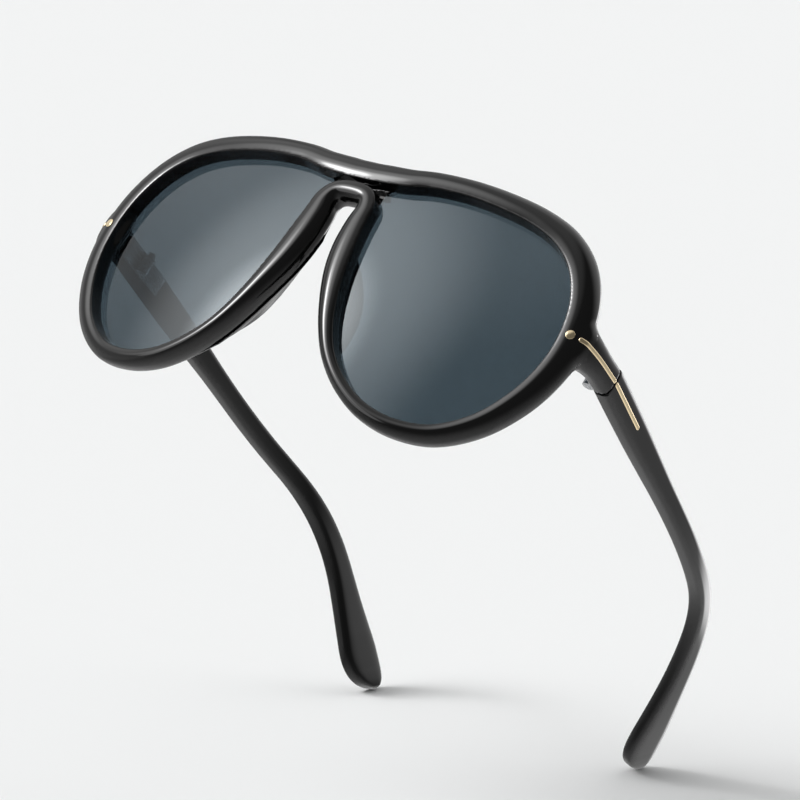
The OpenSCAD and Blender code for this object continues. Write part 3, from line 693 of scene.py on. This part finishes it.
templeS = [0] + [r[0] * temple["length"] for r in temple["rows"]]
templeLine = [jointPt]
for a, b in zip(templeS[:-1], templeS[1:]):
    templeLine.append(templeLine[-1] + heading((a + b) / 2) * (b - a))
templeLine = np.array(templeLine)
templeLine[:, 2] = (templeLine[:, 2] - jointPt[2]) * temple["tableShare"] + jointPt[2]
rowTable = np.array([(0, 1, 0, 0)] + temple["rows"])
rowPlace, highShare, thickShare, lift = rowTable.T
highest = np.where(rowPlace < 0.5, temple["height"], temple["paddle"])  # the joint end, then the paddle
higher = (highest - temple["slim"]) * highShare
halfHigh = smoothTable(rowPlace, (temple["slim"] + higher) / 2, temple["fine"])
thicker = (temple["paddleThick"] - temple["thick"]) * thickShare
halfThick = smoothTable(rowPlace, (temple["thick"] + thicker) / 2, temple["fine"])
tipLift = smoothTable(rowPlace, lift * temple["paddle"] / 2, temple["fine"])


def templeCentre(s):
    i = min(int(np.searchsorted(templeS, s, "right")) - 1, len(templeS) - 2)
    i = max(i, 0)
    gap = templeS[i + 1] - templeS[i]
    t = (s - templeS[i]) / gap
    m0, m1 = heading(templeS[i]) * gap, heading(templeS[i + 1]) * gap
    return ((1 + 2 * t) * (1 - t) ** 2 * templeLine[i] + t * (1 - t) ** 2 * m0
            + t * t * (3 - 2 * t) * templeLine[i + 1] + t * t * (t - 1) * m1)


templeEnds = {  # how the loft keeps inside the solid, and its stations from the joint face to the tip
    "keep": 0.985, "trim": (0.13, 0.9, 0.06), "tipRound": 0.8, "jointRound": 0.3,
    "jointStations": (0, 0, 0.03, 0.08, 0.15, 0.22, 0.3), "shank": (0.8, 0.93, 150), "tip": (60, 1.6),
}


def templeStations():
    edge, soft = templeEnds["jointRound"], templeEnds["tipRound"]
    full = temple["length"]
    trim, trimFrom, trimOver = templeEnds["trim"]
    start, share, count = templeEnds["shank"]
    tipCount, tipPower = templeEnds["tip"]
    tip = full - full * (1 - share) * (1 - np.linspace(0.02, 1, tipCount)) ** tipPower
    stations = [*templeEnds["jointStations"], *np.linspace(start, full * share, count), *tip]
    centre, across, rise = [], [], []
    for k, v in enumerate(stations):
        f0, f1 = templeFrame(v)
        if v < edge:
            f0, f1 = (np.array([1, 0, 0]), np.array([0, 0, 1]))
        less = edge - math.sqrt(max(edge ** 2 - (edge - v) ** 2, 0)) if v < edge else 0
        less += trim * min(max(v / full - trimFrom, 0) / trimOver, 1)
        a, b = (half(v / full) * templeEnds["keep"] - less for half in (halfThick, halfHigh))
        left = full - v
        if left < soft:
            shrink = math.sqrt(max(1 - ((soft - left) / soft) ** 2, 0))
            a, b = a * shrink, b * shrink
        if k == 0:
            a = b = 0
        centre.append(templeCentre(v) + f1 * tipLift(v / full))
        across.append(f0 * a)
        rise.append(f1 * b)
    return np.array(centre), np.array(across), np.array(rise)


centre, across, rise = templeStations()
temples = {}
for side, s in sides.items():
    flip = [s, 1, 1]
    temples[side] = loftPiece("temple_" + side + "_acetate", centre * flip, across * flip, rise * flip,
                              temple["squareness"], temple["around"], acetateBlack)
print("temples:", len(temples["left"].data.vertices), "points each")

# gold strips and rivets
strip = {
    "high": 1.2, "deep": 0.6, "proud": 0.12, "length": 18.0, "endRound": 0.6, "endSteep": 3,
    "squareness": 0.6, "around": 40, "start": 0.02, "templeStations": 90, "endShares": (0.05, 0.998, 110),
    "rounds": 6, "mostMove": 0.5,
}


def stripPiece(name, path, outs, ups, s):  # path lies on the surface; the strip is let into it
    path, outs, ups = (np.array(v) * [s, 1, 1] for v in (path, outs, ups))
    along = np.concatenate([[0], np.cumsum(np.linalg.norm(np.diff(path, axis=0), axis=1))])
    left = np.minimum(np.minimum(along, along[-1] - along) / strip["endRound"], 1)
    share = np.sqrt(1 - (1 - left) ** 2)[:, None]
    centre = path + outs * (strip["proud"] - strip["deep"] / 2)
    across = outs * strip["deep"] / 2 * np.minimum(share * strip["endSteep"], 1)
    rise = ups * strip["high"] / 2 * share
    return loftPiece(name, centre, across, rise, strip["squareness"], strip["around"], goldPlate)


def endWeighted(low, high, count):  # places that lie closer together near both ends
    t = np.linspace(0, 1, count)
    return low + (high - low) * (0.5 - 0.5 * np.cos(math.pi * t))


path, outs, ups = [], [], []
for v in endWeighted(strip["start"], strip["length"], strip["templeStations"]):
    f0, f1 = templeFrame(v)
    path.append(templeCentre(v) + f0 * halfThick(v / temple["length"]))
    outs.append(f0)
    ups.append(f1)
templeStrips = {}
for side, s in sides.items():
    templeStrips[side] = stripPiece("templeStrip_" + side + "_gold", path, outs, ups, s)


def outFrom(line):  # the way out of the end piece's side, along a line on it
    lead = np.gradient(line, axis=0)
    out = np.stack([lead[:, 1], -lead[:, 0], 0 * lead[:, 0]], 1)
    return out / np.linalg.norm(out, axis=1)[:, None]


shares = np.linspace(*strip["endShares"])
level = np.full(len(shares), -endPiece["drop"])
path = np.stack([endOut(shares), foreY + shares * endPiece["length"], level], 1)
outs = outFrom(path)
for turn in range(strip["rounds"]):  # onto the front's own surface
    path = path - outs * np.clip(frontAt(path), -strip["mostMove"], strip["mostMove"])[:, None]
outs = outFrom(path)
ups = np.tile([0.0, 0, 1], (len(shares), 1))
endStrips = {}
for side, s in sides.items():
    endStrips[side] = stripPiece("endStrip_" + side + "_gold", path, outs, ups, s)


def roundedEdge(r, top, edge, angles):  # radius and height pairs around a turned piece's outer edge
    turns = [math.radians(t) for t in angles]
    return [(r - edge + edge * math.cos(t), top - edge + edge * math.sin(t)) for t in turns]


def lathePiece(name, profile, origin, axis, finish, around=48, sharp=50):  # profile from pole to pole
    axis = np.array(axis) / np.linalg.norm(axis)
    a = np.cross(axis, [0, 0, 1] if abs(axis[2]) < 0.9 else [1, 0, 0])
    a /= np.linalg.norm(a)
    b = np.cross(axis, a)
    pts, faces = [], []
    for r, h in profile:
        for k in range(around):
            t = 2 * math.pi * k / around
            pts.append(np.array(origin) + axis * h + (a * math.cos(t) + b * math.sin(t)) * r)
    for i in range(len(profile) - 1):
        for k in range(around):
            j = (k + 1) % around
            faces.append([i * around + k, i * around + j, (i + 1) * around + j, (i + 1) * around + k])
    return softened(outward(meshPiece(name, np.array(pts), faces, finish), slivers=True), sharp)


rivet = {
    "headR": 1.15, "sink": 0.25, "proud": 0.12, "dome": 0.11, "domeR": 1.03, "edge": 0.12, "edgeLow": 0.1,
    "shankR": 0.63, "length": 2.6,
}
rivetX = halfBridge + front["lensW"] + front["rimW"] * front["crestShare"]
rivets = {}
for side, s in sides.items():
    seat = onFront(np.array(rivetX), np.array(-endPiece["drop"]), front["crestH"] - rivet["sink"]) * [s, 1, 1]
    axis = (seat - [0, front["baseR"], 0]) / front["baseR"]
    top = rivet["sink"] + rivet["proud"]
    low = top - rivet["edgeLow"]
    profile = [(0, -rivet["length"]), (rivet["shankR"], -rivet["length"]), (rivet["shankR"], 0),
               (rivet["headR"], 0), (rivet["headR"], low)]
    for t in np.radians(np.linspace(0, 90, 7)[1:]):
        profile.append((rivet["domeR"] + rivet["edge"] * math.cos(t), low + rivet["edgeLow"] * math.sin(t)))
    profile += [(rivet["domeR"] * t, top + rivet["dome"] * (1 - t * t)) for t in np.linspace(1, 0, 8)[1:]]
    rivets[side] = lathePiece("rivet_" + side + "_gold", profile, seat, axis, goldPlate)
print("trim made")

# hinges
hinge = {
    "knuckles": 5, "knuckleR": 1.5, "high": 5.5, "screwR": 0.7, "gap": 0.1, "boreGap": 0.04, "wallGap": 0.1,
    "leafT": 1.2, "frontLeaf": 6.4, "templeLeaf": 8.5, "sink": 0.5, "neckFrom": 0.9, "neckIn": 0.5,
    "bevel": 0.12, "sharp": 35,
}
innerX = outerX - temple["thick"]
axisX = innerX - hinge["knuckleR"] - hinge["wallGap"]
knuckleH = (hinge["high"] - (hinge["knuckles"] - 1) * hinge["gap"]) / hinge["knuckles"]
hingeLow = -endPiece["drop"] - hinge["high"] / 2
leafH = hinge["high"] - 2 * hinge["gap"]
leafStart = hinge["knuckleR"] + hinge["gap"]

knuckleTree = bpy.data.node_groups.new("hingeKnuckles", "GeometryNodeTree")
knuckleTree.is_modifier = True
for name, kind in (
        ("Geometry", "Geometry"), ("Count", "Int"), ("First", "Vector"), ("Pitch", "Float"),
        ("Radius", "Float"), ("Bore", "Float"), ("Height", "Float"), ("Edge", "Float"),
        ("Finish", "Material")):
    knuckleTree.interface.new_socket(name=name, in_out="INPUT", socket_type="NodeSocket" + kind)
knuckleTree.interface.new_socket(name="Geometry", in_out="OUTPUT", socket_type="NodeSocketGeometry")


def buildKnuckles(tree):  # rings with rounded edges, one above the other, joined to the leaf that comes in
    given = addNode(tree, "NodeGroupInput").outputs
    rise = addNode(tree, "ShaderNodeCombineXYZ", {"Z": given["Pitch"]})
    line = addNode(tree, "GeometryNodeMeshLine", {
        "Count": given["Count"], "Start Location": given["First"], "Offset": rise.outputs[0]})
    mid = maths(tree, "MULTIPLY", maths(tree, "ADD", given["Radius"], given["Bore"]), 0.5)
    wall = maths(tree, "SUBTRACT", given["Radius"], given["Bore"])
    path = addNode(tree, "GeometryNodeCurvePrimitiveCircle", {"Resolution": 56, "Radius": mid})
    box = addNode(tree, "GeometryNodeCurvePrimitiveQuadrilateral", {"Width": wall, "Height": given["Height"]})
    soft = addNode(tree, "GeometryNodeFilletCurve", {
        "Curve": box.outputs[0], "Count": 3, "Radius": given["Edge"]}, mode="POLY")
    ring = addNode(tree, "GeometryNodeCurveToMesh", {
        "Curve": path.outputs[0], "Profile Curve": soft.outputs[0]})
    many = addNode(tree, "GeometryNodeInstanceOnPoints", {
        "Points": line.outputs[0], "Instance": ring.outputs[0]})
    joined = addNode(tree, "GeometryNodeJoinGeometry")
    tree.links.new(many.outputs[0], joined.inputs[0])
    tree.links.new(given["Geometry"], joined.inputs[0])
    real = addNode(tree, "GeometryNodeRealizeInstances", {"Geometry": joined.outputs[0]})
    dressed = addNode(tree, "GeometryNodeSetMaterial", {
        "Geometry": real.outputs[0], "Material": given["Finish"]})
    addNode(tree, "NodeGroupOutput", {"Geometry": dressed.outputs[0]})


buildKnuckles(knuckleTree)


def roundedBoxes(name, boxes, finish):  # boxes given by two corners, with small bevels
    bm = bmesh.new()
    for lo, hi in boxes:
        lo, hi = toRow(np.minimum(lo, hi)), toRow(np.maximum(lo, hi))
        made = bmesh.ops.create_cube(bm, size=1)
        for v in made["verts"]:
            v.co = Vector([(lo[k] + hi[k]) / 2 + v.co[k] * (hi[k] - lo[k]) for k in range(3)])
    bmesh.ops.bevel(
        bm, geom=list(bm.edges), offset=hinge["bevel"] * mm, segments=2, affect="EDGES", profile=0.5)
    mesh = bpy.data.meshes.new(name)
    bm.to_mesh(mesh)
    bm.free()
    mesh.materials.append(finish)
    return linked(name, mesh)


def hingeHalf(name, s, way, leafLength, first):
    def at(x, y, z):
        return np.array([x * s, jointY + y * way, z])
    leafX = innerX + hinge["sink"] - hinge["leafT"]
    boxes = [(at(leafX, leafStart, -endPiece["drop"] - leafH / 2),
              at(innerX + hinge["sink"], leafStart + leafLength, -endPiece["drop"] + leafH / 2))]
    numbers = range(first, hinge["knuckles"], 2)
    pitch = knuckleH + hinge["gap"]
    for i in numbers:  # the neck from each knuckle to the leaf
        z = hingeLow + i * pitch
        boxes.append((at(leafX, hinge["neckFrom"], z),
                      at(axisX + hinge["knuckleR"], leafStart + hinge["neckIn"], z + knuckleH)))
    obj = roundedBoxes(name, boxes, nickelSteel)
    start = toRow(np.array([axisX * s, jointY, hingeLow + first * pitch + knuckleH / 2]))
    runTree(obj, knuckleTree, {
        "Count": len(numbers), "First": tuple(start), "Pitch": 2 * pitch * mm,
        "Radius": hinge["knuckleR"] * mm, "Bore": (hinge["screwR"] + hinge["boreGap"]) * mm,
        "Height": knuckleH * mm, "Edge": hinge["bevel"] * mm, "Finish": nickelSteel})
    return softened(obj, hinge["sharp"])


screw = {
    "headShare": 0.8, "headT": 0.6, "headEdge": 0.15, "slotW": 0.35, "slotD": 0.3, "slotL": 4,
    "foot": 0.02, "clear": 0.03,
}


def screwPiece(name, s):
    headR = hinge["knuckleR"] * screw["headShare"]
    seat = hinge["high"] + screw["clear"]
    top = seat + screw["headT"]
    profile = [(0, screw["foot"]), (hinge["screwR"], screw["foot"]), (hinge["screwR"], seat), (headR, seat)]
    profile += roundedEdge(headR, top, screw["headEdge"], (0, 22, 45, 67, 90)) + [(0, top)]
    obj = lathePiece(name, profile, [axisX * s, jointY, hingeLow], [0, 0, 1], nickelSteel)
    slot = np.array([screw["slotL"], screw["slotW"]]) / 2
    lo = np.array([axisX * s - slot[0], jointY - slot[1], hingeLow + top - screw["slotD"]])
    hi = np.array([axisX * s + slot[0], jointY + slot[1], hingeLow + top + 1])
    cutter = roundedBoxes("slotCutter", [(lo, hi)], nickelSteel)
    mod = obj.modifiers.new("slot", "BOOLEAN")
    mod.operation = "DIFFERENCE"
    mod.object = cutter
    mod.solver = "EXACT"
    bpy.context.view_layer.update()
    done = bpy.data.meshes.new_from_object(obj.evaluated_get(bpy.context.evaluated_depsgraph_get()))
    obj.modifiers.remove(mod)
    obj.data = done
    bpy.data.objects.remove(cutter)
    obj.data.set_sharp_from_angle(angle=math.radians(hinge["sharp"]))
    return obj


hinges = {}
for side, s in sides.items():
    hinges["front", side] = hingeHalf("frontHinge_" + side + "_steel", s, -1, hinge["frontLeaf"], 0)
    hinges["temple", side] = hingeHalf("templeHinge_" + side + "_steel", s, 1, hinge["templeLeaf"], 1)
    hinges["screw", side] = screwPiece("hingeScrew_" + side + "_steel", s)
    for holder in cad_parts["core_wire_" + side].material_slots:
        holder.material = nickelSteel
print("hinges made")

# what rides on what
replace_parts(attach(acetateFront, "front"), "front_frame")
for side in sides:
    arm = side + "_arm"
    for piece, node, body, slot in (
            (nosePads[side], "nose_pad_", "front", "acetate_black"),
            (lenses[side], "lens_", "front", "lens_smoke"),
            (rivets[side], "rivet_", "front", "trim_gold"),
            (endStrips[side], "endpiece_strip_", "front", "trim_gold"),
            (hinges["front", side], "front_hinge_", "front", "hinge_metal"),
            (hinges["screw", side], "hinge_screw_", "front", "hinge_metal"),
            (temples[side], "temple_", arm, "acetate_black"),
            (templeStrips[side], "temple_strip_", arm, "trim_gold"),
            (hinges["temple", side], "temple_hinge_", arm, "hinge_metal")):
        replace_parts(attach(piece, body), node + side)
print("pieces ride")

# camera, light and floor
view = {  # fitted to the photo; the centre is in mm from the bridge datum
    "centre": (793.730, -925.070, -493.505), "lens": 249.45, "right": (0.7834818, 0.40033079, 0.47528048),
    "down": (0.20134304, 0.56003769, -0.8036285), "away": (-0.58789221, 0.72532272, 0.35817552),
}
camera = linked("camera", bpy.data.cameras.new("camera"))
camera.data.sensor_width = 36
camera.data.lens = view["lens"]
camera.data.clip_end = 20
axes = Matrix([view["right"], [-v for v in view["down"]], [-v for v in view["away"]]]).transposed()
camera.matrix_world = Matrix.Translation(toRow(view["centre"])) @ axes.to_4x4()
bpy.context.scene.camera = camera

studio = {  # the photo's studio: how bright it is in each direction, in the camera's frame
    "floorNear": 0.85, "floorFar": 1.15, "floorOver": (-0.08, 0.82), "ceiling": 0.13, "wall": 0.35,
    "wallOver": (0.35, 0.8), "skyOver": (-1.15, 0.25), "floorColour": "#e9eaea",
    # each soft light's turn and height, the radius of its even part and of the whole, all in degrees, and
    # its brightness
    "lights": [(-83, 43, 2, 8, 14), (-79.5, 43, 0, 15, 8.0), (-79, 46, 0, 27, 2.75), (-70, 24, 15, 19, 1.5),
               (-104, 27, 30, 54, 0.45), (-103, 72, 21, 39, 0.6), (146, -7, 5, 20, 2.7),
               (124, 38, 8, 52, 1.1)],
    "lean": 43.7, "sheet": 8, "sheetGap": 0.0002, "levelGap": 0.0005,  # floor sheets: degrees and metres
}
axisRight, axisUp, axisNear = Vector(view["right"]), -Vector(view["down"]), -Vector(view["away"])


def direction(turn, height):  # 0 is towards the camera and positive turns go to the right
    a, e = math.radians(turn), math.radians(height)
    return axisRight * math.sin(a) * math.cos(e) + axisUp * math.sin(e) + axisNear * math.cos(a) * math.cos(e)


def seenBy(tree):  # 1 for what the camera sees, through a lens too
    ray = addNode(tree, "ShaderNodeLightPath").outputs
    return maths(tree, "MAXIMUM", ray["Is Camera Ray"], ray["Is Transmission Ray"])


world = bpy.data.worlds.new("studio")
world.use_nodes = True
tree = world.node_tree
tree.nodes.clear()
way = addNode(tree, "ShaderNodeTexCoord").outputs["Generated"]


def along(axis, over, start, end):  # soft change of brightness from one direction to its opposite
    facing = addNode(tree, "ShaderNodeVectorMath", {0: way, 1: tuple(axis)}, operation="DOT_PRODUCT")
    return spread(tree, facing.outputs["Value"], over[0], over[1], start, end, curve="SMOOTHSTEP")


floorLevel = along(axisRight - axisNear, studio["floorOver"], studio["floorNear"], studio["floorFar"])
wallLevel = along(-axisNear, studio["wallOver"], studio["ceiling"], studio["wall"])
share = along(axisUp, studio["skyOver"], 0.0, 1.0)
mixed = addNode(tree, "ShaderNodeMix", {"Factor": share, 2: floorLevel, 3: wallLevel}, data_type="FLOAT")
level = mixed.outputs[0]
for turn, height, even, whole, bright in studio["lights"]:
    over = math.cos(math.radians(whole)), math.cos(math.radians(even))
    level = maths(tree, "ADD", level, along(direction(turn, height), over, 0.0, bright))
lit = addNode(tree, "ShaderNodeBackground", {"Color": (1, 1, 1, 1), "Strength": level})
white = addNode(tree, "ShaderNodeBackground", {"Color": (1, 1, 1, 1), "Strength": 1.0})
both = addNode(tree, "ShaderNodeMixShader", {0: seenBy(tree), 1: lit.outputs[0], 2: white.outputs[0]})
addNode(tree, "ShaderNodeOutputWorld", {"Surface": both.outputs[0]})
bpy.context.scene.world = world


def floorFinish():  # matt pale studio floor, seen from above only
    material, tree = newMaterial("studioFloor")
    back = addNode(tree, "ShaderNodeNewGeometry").outputs["Backfacing"]
    shown = addNode(tree, "ShaderNodeMath", {0: seenBy(tree), 1: back}, operation="SUBTRACT", use_clamp=True)
    clear = addNode(tree, "ShaderNodeBsdfTransparent")
    matt = addNode(tree, "ShaderNodeBsdfDiffuse", {"Color": srgb(studio["floorColour"])})
    mixed = addNode(tree, "ShaderNodeMixShader", {
        0: shown.outputs[0], 1: clear.outputs[0], 2: matt.outputs[0]})
    addNode(tree, "ShaderNodeOutputMaterial", {"Surface": mixed.outputs[0]})
    return material


def floorSheet(name, spot, lean, size, finish):  # square sheet, tilted by lean degrees about X
    a = math.radians(lean)
    fore = Vector((0, math.cos(a), math.sin(a))) * size
    side = Vector((size, 0, 0))
    mid = Vector(spot)
    corners = [mid - side - fore, mid + side - fore, mid + side + fore, mid - side + fore]
    mesh = bpy.data.meshes.new(name)
    mesh.from_pydata(corners, [], [(0, 1, 2, 3)])
    mesh.materials.append(finish)
    obj = linked(name, mesh)


floorPaint = floorFinish()
tipSpot = (0, float(toRow(templeLine[-2])[1]), -studio["sheetGap"])
floorSheet("photoFloor", tipSpot, studio["lean"], studio["sheet"], floorPaint)  # under the temple tips
floorSheet("levelFloor", (0, 0, -studio["levelGap"]), 0, studio["sheet"], floorPaint)  # for other views

bpy.context.scene.view_settings.view_transform = "Standard"
